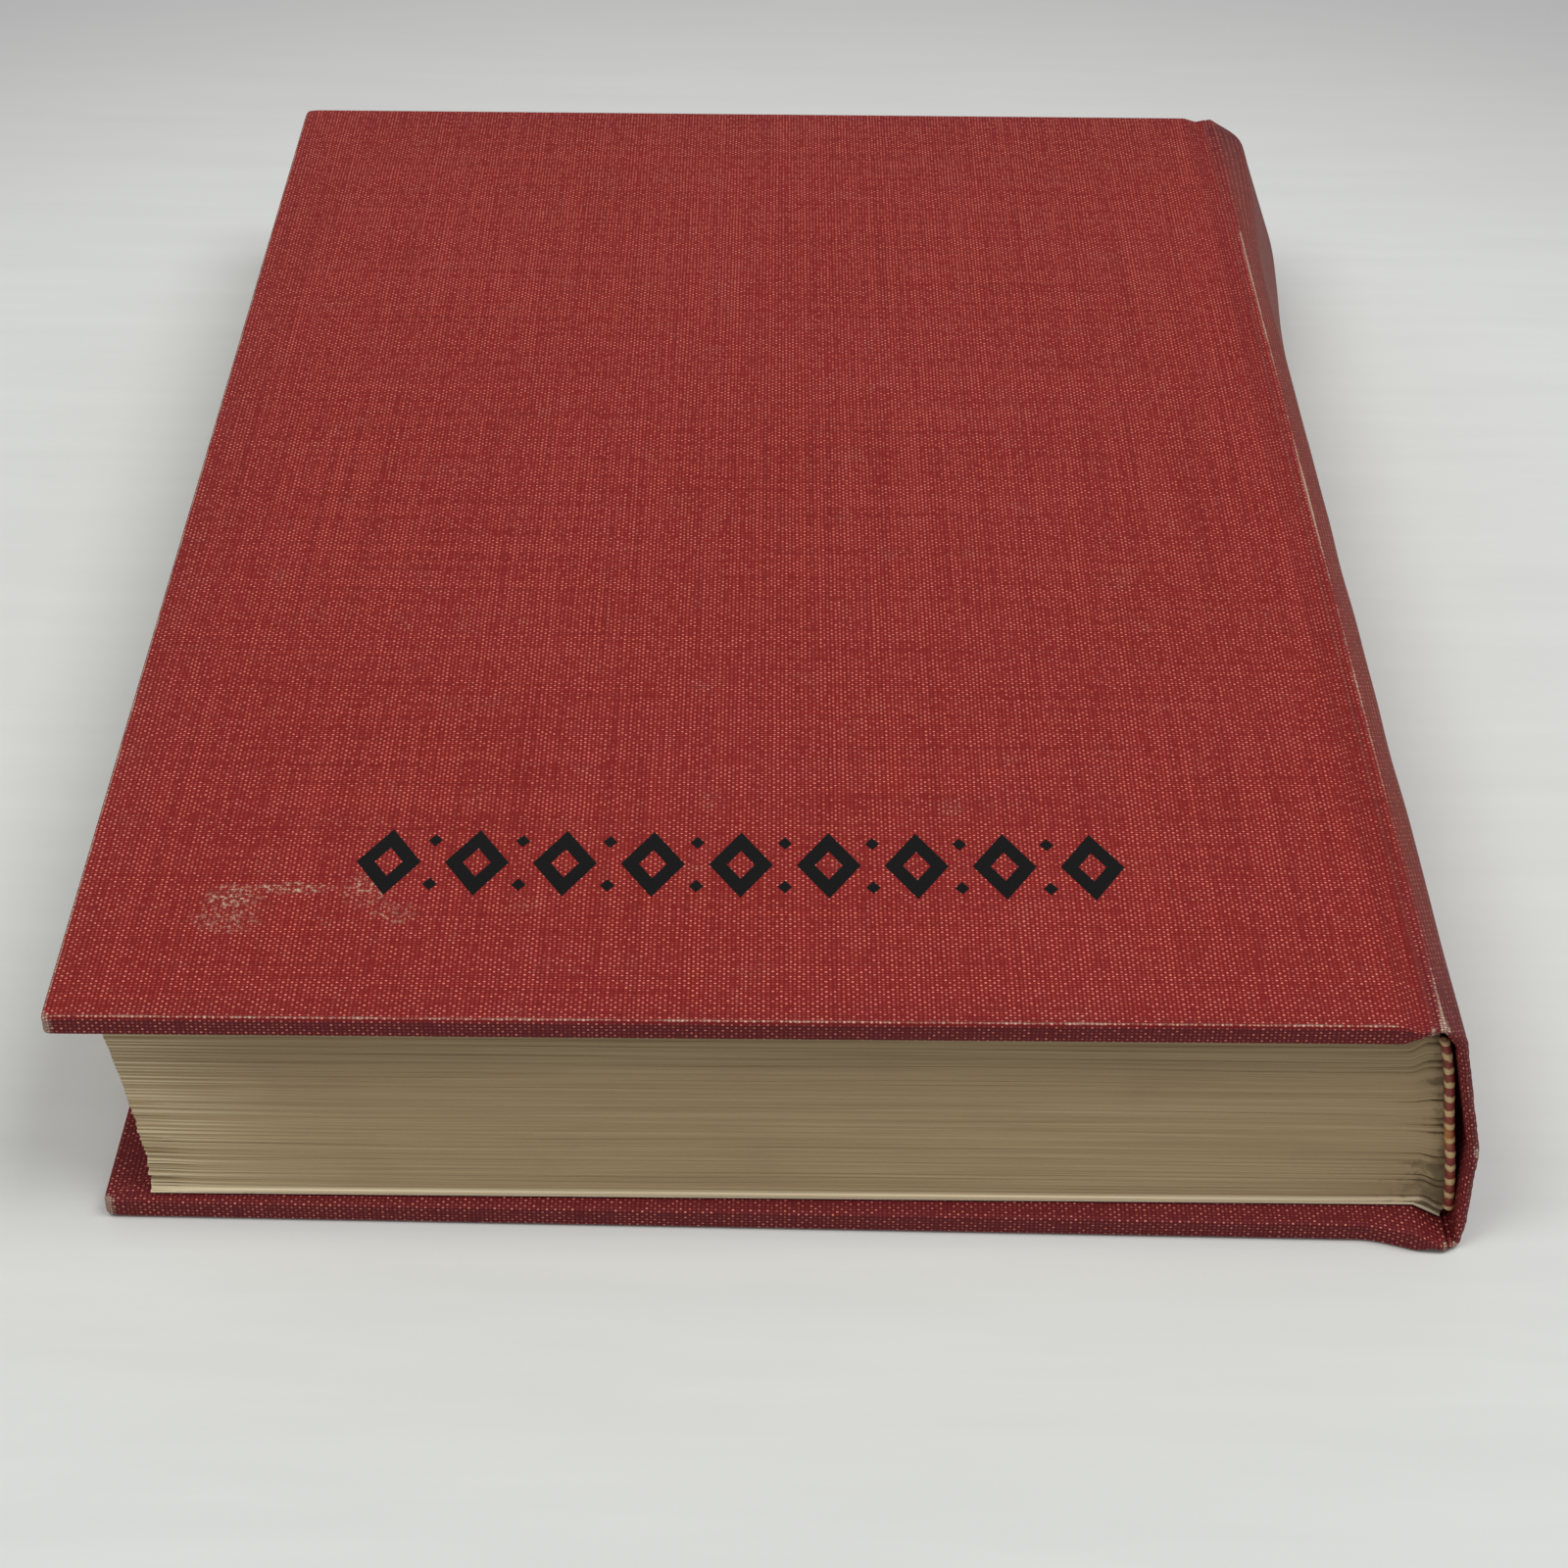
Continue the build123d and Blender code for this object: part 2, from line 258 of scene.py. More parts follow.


# %% [markdown]
# ## The line of the case in section
#
# From board to board the cloth dips into the joint groove, rises to a fold, turns down over the hollow
# spine, bends at a lengthwise crease and comes back under the book. One rounded path gives all of it.
# The path is cut in three at points between groove and fold: each cover's sheet ends there, and the
# spine strip runs between the two cuts.

# %% The section of the joints and the spine
BOARD_END_U = 151.45
GROOVE_DEPTH = 0.66
FOLD_U = 156.0
CREASE_Z = 12.2
CASE_CORNERS = [
    (FLAT_END, BOOK_THICKNESS),
    (BOARD_END_U, BOOK_THICKNESS),
    (GROOVE_U, BOOK_THICKNESS - GROOVE_DEPTH),
    (FOLD_U, BOOK_THICKNESS - 0.1),
    (158.9, BOOK_THICKNESS - 1.9),
    (159.4, CREASE_Z),
    (156.6, 0.1),
    (GROOVE_U, GROOVE_DEPTH),
    (BOARD_END_U, 0.0),
    (FLAT_END, 0.0),
]
CASE_RADII = [1.2, 0.9, 0.55, 2.0, 3.0, 0.6, 0.9, 1.2]
CASE_STEP = 0.16
case_line, case_length, case_heading = rounded_path(CASE_CORNERS, CASE_RADII, CASE_STEP)
JOINT_END = 6.1
STRIP_END = case_length[-1] - JOINT_END
print("the case runs", round(float(case_length[-1]), 1), "mm from board to board")


def case_at(length):
    """u, z and the outward normal of the case line at a length along it."""
    columns = (*case_line.T, *case_heading.T)
    u, z, along_u, along_z = (np.interp(length, case_length, column) for column in columns)
    size = np.hypot(along_u, along_z)
    return u, z, -along_z / size, along_u / size


# %% [markdown]
# ## The cloth on a cover
#
# A cover is cloth glued over a board and turned in round three edges. The flat sheet has coordinates
# s and t, and each point is carried round the board: its distance beyond the board's flat outline runs
# along the edge's profile, a quarter round, a straight fall, another quarter round and the turn-in.
# Beside the spine there is no turned edge; there the sheet runs on down into the joint groove.

# %% Wrapping the sheet round a board
CORNER_RADIUS = 0.8
EDGE_ROUND = 0.55
INNER_ROUND = 0.35
TURN_IN = 15.0
QUARTER = EDGE_ROUND * math.pi / 2
FALL = CASE_DEPTH - EDGE_ROUND - INNER_ROUND
INNER_QUARTER = INNER_ROUND * math.pi / 2
EDGE_LENGTH = QUARTER + FALL + INNER_QUARTER
FINE_BAND = 6.0


def edge_profile(beyond):
    """How far out and how deep a point lies that is this far beyond the flat outline."""
    first = np.clip(beyond, 0, QUARTER) / EDGE_ROUND
    fall = np.clip(beyond - QUARTER, 0, FALL)
    second = np.clip(beyond - QUARTER - FALL, 0, INNER_QUARTER) / INNER_ROUND
    inward = np.maximum(beyond - EDGE_LENGTH, 0)
    out = EDGE_ROUND * np.sin(first) - INNER_ROUND * (1 - np.cos(second)) - inward
    depth = EDGE_ROUND * (1 - np.cos(first)) + fall + INNER_ROUND * np.sin(second)
    return out, depth


def wrap_sheet(s, t):
    """Flat cloth to u, depth, v on a board whose two fore corners are rounded; turn-ins are mitred."""
    core_s = np.maximum(s, CORNER_RADIUS)
    core_t = np.clip(t, CORNER_RADIUS, COVER_HEIGHT - CORNER_RADIUS)
    away_s, away_t = s - core_s, t - core_t
    past_s, past_t = np.abs(away_s) > WELD, np.abs(away_t) > WELD
    corner = past_s & past_t
    away = np.hypot(away_s, away_t) + 1e-9
    rest = CORNER_RADIUS - EDGE_ROUND
    beyond = np.maximum(away - rest, 0)
    out, depth = edge_profile(beyond)
    out = np.where(corner, np.maximum(out, -rest), out)
    reach = np.where(beyond > 0, rest + out, away)
    u = core_s + away_s / away * reach
    v = core_t + away_t / away * reach
    inside = beyond > EDGE_LENGTH
    gap = to_end(v)
    v = np.where(inside & ~past_t & (gap < u), np.clip(v, u, COVER_HEIGHT - u), v)
    u = np.where(inside & ~past_s, np.maximum(u, gap), u)
    return u, depth, v, beyond, corner


def cover_lines():
    """Grid lines of the sheet, close together where it turns round an edge or dips into the joint."""
    edge_stops = [1.5 - EDGE_LENGTH - TURN_IN, -EDGE_LENGTH - 0.2, -1.6, EDGE_ROUND, 2.2, FINE_BAND]
    turned = spaced(edge_stops, [7, 14, 14, 8, 5])
    face = spaced([FINE_BAND, 145, FLAT_END], [74, 3])
    joint = FLAT_END + np.linspace(CASE_STEP, JOINT_END, 30)
    middle = np.linspace(FINE_BAND, COVER_HEIGHT - FINE_BAND, 120)[1:-1]
    return np.concatenate([turned[:-1], face, joint]), mirrored(turned, middle)


def face_swell(u, v):
    """The front cover's slight waviness, none at its edges, as a depth."""
    return 0.05 * ripple(u, v, 90, 3) * smooth(np.minimum(u, to_end(v)), 0, 12)


def lip(u, z, v):
    """How far the cloth's roll at the back joint's head end sags out over the head, as a move in y."""
    bulge = smooth(u, 145, 154) * (1 - 0.75 * smooth(u, 154.2, 157.5))
    return -1.9 * bulge * bell(v, 3.2) * (1 - smooth(z, 1.5, 9))


def from_cover(place, u, depth, v, share):
    """A point of the cover where share is 0 and of the leaning spine where it is 1, and its height."""
    height = depth if place is on_back else BOOK_THICKNESS - depth
    share = share[..., None]
    return place(u, depth, v) * (1 - share) + lean(u, height, v) * share, height


# %% One cover's cloth
def cover_cloth(name, place, flip):
    """The sheet of one cover, whose joint follows the case line over to the leaning spine. Its masks
    are wear on edges and tips, with a painted highlight on the edges' rounding; sun towards the spine;
    and dirt at borders and in the joint, a darker tone all over the back cover, and painted shade on the
    board's edge faces."""
    s, t = np.meshgrid(*cover_lines(), indexing="ij")
    u, depth, v, beyond, corner = wrap_sheet(s, t)
    joint_u, joint_z, _, _ = case_at(np.maximum(s - FLAT_END, 0))
    u = np.where(s > FLAT_END, joint_u, u)
    drop = np.where(s > FLAT_END, BOOK_THICKNESS - joint_z, 0)
    thin = 1 - 0.74 * smooth(s, 150.9, 154.2)
    end = to_end(v)
    swell = face_swell(u, v) * (beyond == 0) * (place is on_front)
    blunt = 0.2 * bell(u, 1.3) * bell(end, 1.3) * (depth < 1.2)
    level = drop + depth * thin + swell + blunt
    points, height = from_cover(place, u, level, v, smooth(s, 150.5, GROOVE_U))
    points[..., 1] += lip(u, height, v)
    on_board = 1 - smooth(s, 150.5, 153)
    # The edges' rounding is paler: wear, and a painted highlight where light catches the rounding.
    edge_wear_and_highlight = 0.8 * bell(beyond - 0.25, 0.28) * on_board
    lower_edge = 0.3 * bell(beyond - EDGE_LENGTH + 0.3, 0.3) * on_board
    tips = 1.25 * bell(np.hypot(u, end), 1.35)
    ridge = 0.22 * bell(s - 151.3, 0.35)
    joint_tip = 0.9 * smooth(s, 153.4, 155) * bell(end, 1.1)
    # wear holds the painted highlight of the edges' rounding as well as real wear.
    wear = np.maximum.reduce([edge_wear_and_highlight, lower_edge, tips, ridge, joint_tip])
    sun = 0.6 * smooth(s, 154.2, 155.1)
    # Dirt at borders and in the joint; a darker tone all over the back cover; and painted shade on the
    # board's edge faces beyond the rounding.
    dirt_and_edge_shade = 0.3 * fade(np.minimum(u, end), 6) + 0.2 * smooth(s, 150, 153)
    dirt_and_edge_shade = dirt_and_edge_shade + 0.4 * (place is on_back) + 0.7 * smooth(beyond, 0.3, 1.0)
    marks = grid(np.clip(wear, 0, 1.3), sun, np.clip(dirt_and_edge_shade, 0, 1))
    lost = corner & (beyond > EDGE_LENGTH + 1.2)
    keep = ~(lost[:-1, :-1] & lost[1:, 1:] & lost[1:, :-1] & lost[:-1, 1:])
    return make_piece(name, [patch(points, grid(s, t), marks, flip, keep)])


front_cloth = cover_cloth("front_cloth", on_front, False)
back_cloth = cover_cloth("back_cloth", on_back, True)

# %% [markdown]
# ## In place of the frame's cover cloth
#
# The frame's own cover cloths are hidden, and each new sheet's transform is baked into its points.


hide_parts("front_cover_cloth")
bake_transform(front_cloth)
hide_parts("back_cover_cloth")
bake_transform(back_cloth)

# %% [markdown]
# ## The spine strip
#
# The strip stands off the rounded back and leaves a hollow. It is cloth over a thin card, turned in
# over the card at head and tail. The grid runs round the section one way, and the other way it starts
# inside at the head, rolls over the end, runs down the outside and rolls in again at the tail.

# %% The spine cloth
CLOTH_LAYERS = 0.72
CARD_LAYER = 0.62
TAIL_BULGE = 2.3
CAP_FLAT = 2.4
CAP_START = -1.9


def from_joint(along):
    """How far a place on the strip is from the nearer joint, along the case line."""
    return np.minimum(along - JOINT_END, STRIP_END - along)


def strip_push(along, v):
    """How far the tired strip stands out: it bulges towards the tail and is rounded off there."""
    bulge = TAIL_BULGE * smooth(v, 178, 226) - 2.6 * np.clip((v - 228.5) / 6.5, 0, 1) ** 2.2
    return bulge * smooth(from_joint(along), 0.3, 4.0)


def spine_cloth():
    """The strip: the case line, moved in by the layers' thickness where the cloth is turned in. Its
    masks are wear on folds, crease and ends, sun on the outside, and a darker tone towards the ends."""
    along = np.linspace(JOINT_END, STRIP_END, 190)[:, None]
    u, z, out_u, out_z = case_at(along)
    edge = from_joint(along)
    roll = np.linspace(0, math.pi, 11)
    inner = np.linspace(TURN_IN, 0.9, 8)
    outside = spaced([0.75, 8, COVER_HEIGHT - 8, COVER_HEIGHT - 0.75], [12, 120, 12])
    v = mirrored(np.concatenate([inner, 0.62 * (1 - np.sin(roll))]), outside)
    flat_v = mirrored(np.concatenate([CAP_START - inner, CAP_START + CAP_FLAT * roll / math.pi]), outside)
    cap = np.concatenate([np.ones(len(inner)), (1 + np.cos(roll)) / 2])
    depth = np.concatenate([cap, 0 * outside, cap[::-1]])
    end = to_end(v)
    lumps = 0.07 * ripple(along, v, 46, 12) * smooth(edge, 1.5, 6)
    frayed = 0.05 * ripple(along * 3, v * 3, 9, 5) * bell(end, 0.8)
    thickness = CLOTH_LAYERS + CARD_LAYER * smooth(edge, 1.2, 3.6)
    inset = thickness * depth - (lumps + frayed) * smooth(edge, 0.4, 1.6)
    strip_u = u - out_u * inset
    strip_z = np.maximum(z - out_z * inset, 0.02)
    points = lean(strip_u + strip_push(along, v), strip_z, v)
    points[..., 1] += lip(strip_u, strip_z, v)
    outer = case_line[:, 0] > 158
    fold_at = np.interp(FOLD_U, case_line[:80, 0], case_length[:80])
    crease_at = np.interp(-CREASE_Z, -case_line[outer, 1], case_length[outer])
    patchy = (0.8 + 0.3 * ripple(v, 0, 60, 21)) * (1 - 0.85 * smooth(v, 180, 212))
    folds = bell(along - fold_at, 0.33) * patchy + 0.6 * bell(case_length[-1] - fold_at - along, 0.5)
    crease = bell(along - crease_at, 0.5) * (0.25 + 0.9 * bell(end, 1.0))
    rim = 0.5 * bell(end, 0.4) * (depth < 0.6)
    frays = 0.95 * bell(end, 1.5) * bell(edge - 1.2, 1.1)
    wear = np.clip((folds + crease) * (depth < 0.5) + np.maximum(rim, frays), 0, 1.3)
    sun = smooth(edge, 0.0, 2.5) * (depth < 0.5)
    marks = grid(wear, sun, np.clip(0.2 + 1.3 * fade(end, 11), 0, 1))
    return make_piece("spine_strip", [patch(points, grid(FLAT_END + along, flat_v), marks)])


spine_strip = spine_cloth()
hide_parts("spine_cloth")
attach(spine_strip, "text_block")


# %% The card inside the strip
def spine_card():
    """The strip's line again, moved in by cloth and card, between the turned-in ends."""
    along = np.linspace(JOINT_END + 2.6, STRIP_END - 2.6, 110)[:, None]
    v = np.linspace(0.7, COVER_HEIGHT - 1.2, 110)
    u, z, out_u, out_z = case_at(along)
    inset = 1.0 + 0.02 * ripple(along, v, 30, 4)
    card_z = z - out_z * inset
    points = lean(u - out_u * inset + strip_push(along, v), card_z, v)
    points[..., 1] += lip(u, card_z, v)
    return make_piece("spine_card", [patch(points, grid(along, v), flip=True)])


inner_card = spine_card()
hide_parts("spine_inlay")
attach(inner_card, "text_block")

# %% [markdown]
# ## The leaves
#
# Some three hundred leaves were folded in sections, sewn and cut smooth, and years of use have shifted
# them a little. A bundle of two or three leaves is one step of the surface: every bundle has its own
# small setback, which changes slowly along its edge. Near the back the sections part, where they were
# folded and sewn. The grid goes round head, fore edge and tail in one direction and up in the other.

# %% The block's three cut edges
BUNDLES = 112
SECTIONS = 17
HEAD_RUN = 142.5
FORE_START = HEAD_RUN + 1.0
TAIL_START = FORE_START + PAGE_HEIGHT + 1.0


def back_u(z):
    """The rounded back: u at a height, a parabola from shoulder to shoulder."""
    return BACK_TIP_U + BACK_ROUND * (1 - ((z - MIDDLE) / BACK_HALF) ** 2)


def loosened(z, v):
    """How far the top of the back has come away towards the strip, near the head only."""
    return 1.1 * smooth(z - MIDDLE, -2, BACK_HALF - 1.5) * bell(v - PAGE_HEAD, 9)


def shoulder_flare(u):
    """How much the block's first and last leaves stand out at the shoulders of its back."""
    return 1.3 * smooth(u, 152.4, 154.8)


def leaf_heights(random):
    """Lower and upper edge of each bundle: even heights, with a third of their place left to chance."""
    chance = np.sort(np.concatenate([[0, 1], random.random(BUNDLES - 1)]))
    cuts = PAGES_LEVEL + (0.35 * chance + 0.65 * np.linspace(0, 1, BUNDLES + 1)) * 2 * PAGES_HALF
    return np.stack([cuts[:-1] + 0.004, cuts[1:] - 0.004], -1).ravel()


def leaf_edges():
    """The ring of cut edges: each point is pulled in from the block's outline by its bundle's setback.
    Its masks are pale leaves, with painted light on fanned leaves near the fore corner; painted shade
    towards the top under the front cover, and a darker tone low near the back; painted shade in the gaps
    between sections, and a darker tone beside the back."""
    random = np.random.default_rng(41)
    head = spaced([0, 8, 30, HEAD_RUN], [24, 16, 60])
    fore = spaced([0, 3, 226, PAGE_HEIGHT], [6, 104, 6])
    ring = np.concatenate([head, FORE_START + fore, TAIL_START + HEAD_RUN - head[::-1]])[:, None]
    rows = leaf_heights(random)
    bundle = np.repeat(np.arange(BUNDLES), 2)
    share = (rows - PAGES_LEVEL) / (2 * PAGES_HALF)
    section = share * SECTIONS + 0.35 * np.sin(share * 40)
    own = random.normal(0, 0.016, BUNDLES)[bundle]
    group = random.normal(0, 0.022, SECTIONS + 3)[np.floor(section).astype(int) + 1]
    drift = 0.018 * ripple(ring, bundle * 37.0, 70, 17)
    at_fore = smooth(ring, 136, 143) * (1 - smooth(ring, 375, 382))
    ragged = np.abs(random.normal(0, 0.25, BUNDLES)[bundle] * smooth(1 - share, 0.25, 0.85))
    from_back = np.minimum(ring, ring[-1] - ring)
    near_back = fade(from_back, 4.5)
    gap = bell(0.5 - np.abs(section % 1.0 - 0.5), 0.10)
    setback = own + group + drift + 0.12 + at_fore * ragged - 0.1 * fade(rows - PAGES_LEVEL, 0.8)
    setback = np.clip(setback + near_back * gap * 0.4, 0.0, 1.0)
    fore_u = FORE_SQUARE + 0.6 * (1 - ((rows - MIDDLE) / PAGES_HALF) ** 2) + setback
    shoulder = back_u(rows) - 0.15 + loosened(rows, PAGE_HEAD) * (ring <= HEAD_RUN)
    u = shoulder + (fore_u - shoulder) * (np.minimum(from_back, HEAD_RUN) / HEAD_RUN)
    head_v, tail_v = PAGE_HEAD + setback, PAGE_TAIL - setback
    v = head_v + (tail_v - head_v) * np.clip((ring - FORE_START) / PAGE_HEIGHT, 0, 1)
    sag = 0.10 * ripple(ring, rows * 2.0, 150, 29) * np.sin(math.pi * share)
    z = MIDDLE + (rows + sag - MIDDLE) * (1 + shoulder_flare(u) / PAGES_HALF)
    # Pale lines on some bundles near the fore corner: fanned leaves, with painted light on that corner.
    fanned_and_lit = 0.6 * bell(ring - HEAD_RUN, 11) * ((bundle * 7) % 5 < 2)
    pale = 1.3 * bell(rows - PAGES_LEVEL - 0.35, 0.35) + fanned_and_lit + at_fore * 0.05
    low_end = bell(from_back, 13) * (1 - smooth(share, 0.1, 0.45))
    # Darker towards the top: painted shade under the front cover's overhang; low near the back, a darker
    # tone too.
    shade_top_dark_low_back = smooth(share, 0.2, 1.0) + 1.6 * low_end
    # Darker in the gaps between sections near the back: painted shade; also darker beside the back and
    # low near it.
    gap_shade_back_dark = np.clip(0.4 * gap * near_back + 0.5 * fade(from_back, 3) + 0.3 * low_end, 0, 1)
    flat = grid(ring, rows + bundle * 0.03)
    return patch(lean(u, z, v), flat, grid(pale, shade_top_dark_low_back, gap_shade_back_dark), flip=True)


def leaf_faces():
    """The block's first and last leaf and its rounded back, which close the surface."""
    u = spaced([FORE_SQUARE + 0.2, 20, 151.3, 154.6], [6, 40, 8])[:, None]
    v = np.linspace(PAGE_HEAD + 0.15, PAGE_TAIL - 0.15, 60)
    top = lean(u, BOOK_THICKNESS - PAGES_LEVEL - 0.01 + shoulder_flare(u), v)
    bottom = lean(u, PAGES_LEVEL + 0.01 - shoulder_flare(u), v)
    z = np.linspace(MIDDLE - BACK_HALF + 0.05, MIDDLE + BACK_HALF - 0.05, 40)[:, None]
    back = lean(back_u(z) - 0.15 + loosened(z, v), z, v)
    flat = grid(u, v)
    return [patch(top, flat), patch(bottom, flat, flip=True), patch(back, grid(z, v), flip=True)]


leaves = make_piece("leaves", [leaf_edges()] + leaf_faces(), soft=False)
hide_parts("pages")
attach(leaves, "text_block")

# %% [markdown]
# ## The headbands
#
# A headband is a cord wrapped in silk of two colours, glued to the head and tail of the back. Here it
# is a tube along the rounded back whose radius swells at each wrap, and its tape behind it.

# %% Headbands at head and tail
WRAP_PITCH = 1.87
WRAP_START = 0.4
SILK_THREAD = 0.21
BAND_REACH = BACK_HALF - 1.5
TAPE_FLAT = 40


def headband(name, edge, outward):
    """A tube round the back's arc: its radius is a full wrap's bulge on a finer ribbing of threads.
    A soft spot in the second mask is yellowed glue."""
    height = np.linspace(-BAND_REACH, BAND_REACH, 260)[:, None]
    around = np.linspace(0, 2 * math.pi, 19)
    place = edge + outward * 0.64
    wrap = np.abs(np.sin(math.pi * (height + WRAP_START) / (WRAP_PITCH / 2)))
    thread = 0.5 + 0.5 * np.cos(2 * math.pi * height / SILK_THREAD + around)
    close = np.clip((BAND_REACH - np.abs(height)) / 0.3, 0, 1) ** 0.5
    radius = (0.53 + 0.09 * wrap + 0.018 * thread) * close
    v = place + radius * np.sin(around) * outward
    z = MIDDLE + height
    bead = lean(back_u(z) + 0.35 + loosened(z, v) + radius * np.cos(around), z, v)
    marks = grid(0.0, bell(height + 1.2, 1.3) * (0.5 - 0.5 * np.cos(around)), 0.3)
    tape_z = (MIDDLE + np.linspace(-BAND_REACH, BAND_REACH, 30))[:, None]
    tape_v = place - outward * np.linspace(0, 11, 12)
    tape = lean(back_u(tape_z) + 0.22 + loosened(tape_z, tape_v), tape_z, tape_v)
    parts = [
        patch(bead, grid(height + 20, around * 0.5), marks, flip=outward > 0),
        patch(tape, grid(tape_z, 0 * tape_v + TAPE_FLAT), flip=outward < 0),
    ]
    return make_piece(name, parts)


for name, edge, outward in (("headband_head", PAGE_HEAD, -1), ("headband_tail", PAGE_TAIL, 1)):
    band = headband(name.replace("headband", "silk_band"), edge, outward)
    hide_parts(name)
    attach(band, "text_block")

# %% [markdown]
# ## The endpapers in the joint
#
# One sheet is pasted to the board and goes on as the flyleaf. Between them it lies folded in the joint:
# up the board's edge, under the joint's cloth and down to the leaves' shoulder.


# %% The paper hinges
def paper_hinge(name, place):
    """A ribbon from the pasted sheet to the flyleaf, its section a rounded path of u and depth."""
    corners = [(149.6, 2.87), (151.06, 2.87), (151.1, 1.8), (154.62, 1.4)]
    line, length, _ = rounded_path(corners, [0.25, 0.5], 0.22)
    u, depth = line[:, :1], line[:, 1:]
    v = np.linspace(PAGE_HEAD + 0.9, PAGE_TAIL - 0.9, 90)
    points, _ = from_cover(place, u, depth, v, smooth(u, 151.2, 153.6))
    return make_piece(name, [patch(points, grid(length[:, None] + FLAT_END, v), flip=place is on_front)])


front_paper_hinge = paper_hinge("front_paper_hinge", on_front)
back_paper_hinge = paper_hinge("back_paper_hinge", on_back)
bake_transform(front_paper_hinge)
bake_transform(back_paper_hinge)

# %% [markdown]
# ## The pasted-down sheets
#
# The sheet on the inside of each board covers the cloth's turned-in edges and the gauze, and both show
# through it as low steps. The grid is the sheet's own rectangle; its depth is the sum of those steps.

# %% The pasted sheets
SHEET_FORE = 6.4
SHEET_END = 3.5


def pasted_sheet(name, place, flip):
    """A sheet over steps: high where cloth or gauze lies below it, lower on the bare board."""
    u_stops = [SHEET_FORE, SHEET_FORE + 0.2, 14.2, 15.8, 121, 124, 150.2, 150.6]
    u = spaced(u_stops, [1, 3, 10, 34, 10, 12, 1])[:, None]
    ends = spaced([SHEET_END, SHEET_END + 0.2, 14.2, 15.8], [1, 4, 10])
    v = mirrored(ends, np.linspace(17, COVER_HEIGHT - 17, 70))
    bare = smooth(np.minimum(u, to_end(v)), 14.6, 15.4) * (1 - 0.5 * smooth(u, 122, 123))
    skirt = (u < SHEET_FORE + 0.05) | (to_end(v) < SHEET_END + 0.05)
    depth = CASE_DEPTH + 0.15 - 0.11 * bare - 0.14 * skirt + 0.012 * ripple(u, v, 50, 61)
    return make_piece(name, [patch(place(u, depth, v), grid(u, v), flip=flip)])


for side, place, body in (("front", on_front, "front_cover"), ("back", on_back, "back_cover")):
    sheet = pasted_sheet(f"{side}_pasted_sheet", place, side == "front")
    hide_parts(f"{side}_pastedown")
    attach(sheet, body)

# %% [markdown]
# ## The stamped ornament
#
# A row of lozenges near the head of the front cover is stamped in black foil, pressed into the cloth.
# Each is a frame of four mitred bars with a small bevel; between them sit pairs of small ones.

# %% The foil ornament
ROW_U = 77.4
ROW_V = 27.9
ROW_STEP = 10.4
PAIR_RISE = 4.1
FOIL_PROUD = 0.04
FOIL_SUNK = -0.02


def lozenge(u, v, outer, inner):
    """Four bars between an outer and an inner lozenge, with borders bevelled down into the cloth. An
    inner lozenge of no size leaves it solid."""
    outer, inner = np.array(outer), np.array(inner)
    turns = np.arange(5) * math.pi / 2
    corner = np.stack([np.cos(turns), np.sin(turns)], -1)[:, None, :]
    size = np.array([outer + 0.03, outer * 0.985, inner * 1.04 + 0.02, inner])
    points = np.array([u, v]) + corner * size
    rise = np.array([FOIL_SUNK, FOIL_PROUD, FOIL_PROUD, FOIL_SUNK if inner.any() else FOIL_PROUD])
    depth = face_swell(points[..., 0], points[..., 1]) - rise
    return patch(on_front(points[..., 0], depth, points[..., 1]), points)


parts = []
for step in np.arange(9) - 4:
    parts.append(lozenge(ROW_U + step * ROW_STEP, ROW_V, (3.8, 6.2), (1.6, 2.6)))
for step in np.arange(8) - 3.5:
    for rise in (-PAIR_RISE, PAIR_RISE):
        parts.append(lozenge(ROW_U + step * ROW_STEP, ROW_V + rise, (0.85, 1.15), (0.0, 0.0)))
foil_ornament = make_piece("foil_ornament", parts, soft=False)
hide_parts("title_stamp")
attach(foil_ornament, "front_cover")

# %% [markdown]
# ## Shader helpers
#
# A node tree is quicker to read as short expressions. A Wire is a node's output: each +, -, * or /
# on it becomes a Math node in its own tree. The other helpers add one node and return its output.


# %% Wires, and small helpers for node trees
class Wire:
    """A socket that gives a value, with arithmetic."""

    def __init__(self, socket):
        self.socket = socket
        self.tree = socket.id_data

    __add__ = __radd__ = lambda self, other: calc("ADD", self, other)
    __mul__ = __rmul__ = lambda self, other: calc("MULTIPLY", self, other)
    __sub__ = lambda self, other: calc("SUBTRACT", self, other)
    __rsub__ = lambda self, other: calc("SUBTRACT", other, self)
    __truediv__ = lambda self, other: calc("DIVIDE", self, other)


def plug(socket, value):
    """Links a wire to a socket, or sets a plain value on it."""
    if isinstance(value, Wire):
        value.tree.links.new(value.socket, socket)
    else:
        socket.default_value = value


def feed(node, **values):
    """Fills a node's sockets by name, with underscores for spaces."""
    for label, value in values.items():
        plug(node.inputs[label.replace("_", " ")], value)


def add_node(kind, *values):
    """A new node in the tree of the values' wires; the values fill its first inputs."""
    tree = next(value.tree for value in values if isinstance(value, Wire))
    made = tree.nodes.new("ShaderNode" + kind)
    for socket, value in zip(made.inputs, values):
        plug(socket, value)
    return made


def calc(operation, *values):
    made = add_node("Math", *values)
    made.operation = operation
    return Wire(made.outputs[0])


def vector(x, y, z=0.0):
    return Wire(add_node("CombineXYZ", x, y, z).outputs[0])


def split(value):
    return [Wire(output) for output in add_node("SeparateXYZ", value).outputs]


def scaled(value, scale):
    made = add_node("VectorMath", value)
    made.operation = "SCALE"
    feed(made, Scale=scale)
    return Wire(made.outputs[0])


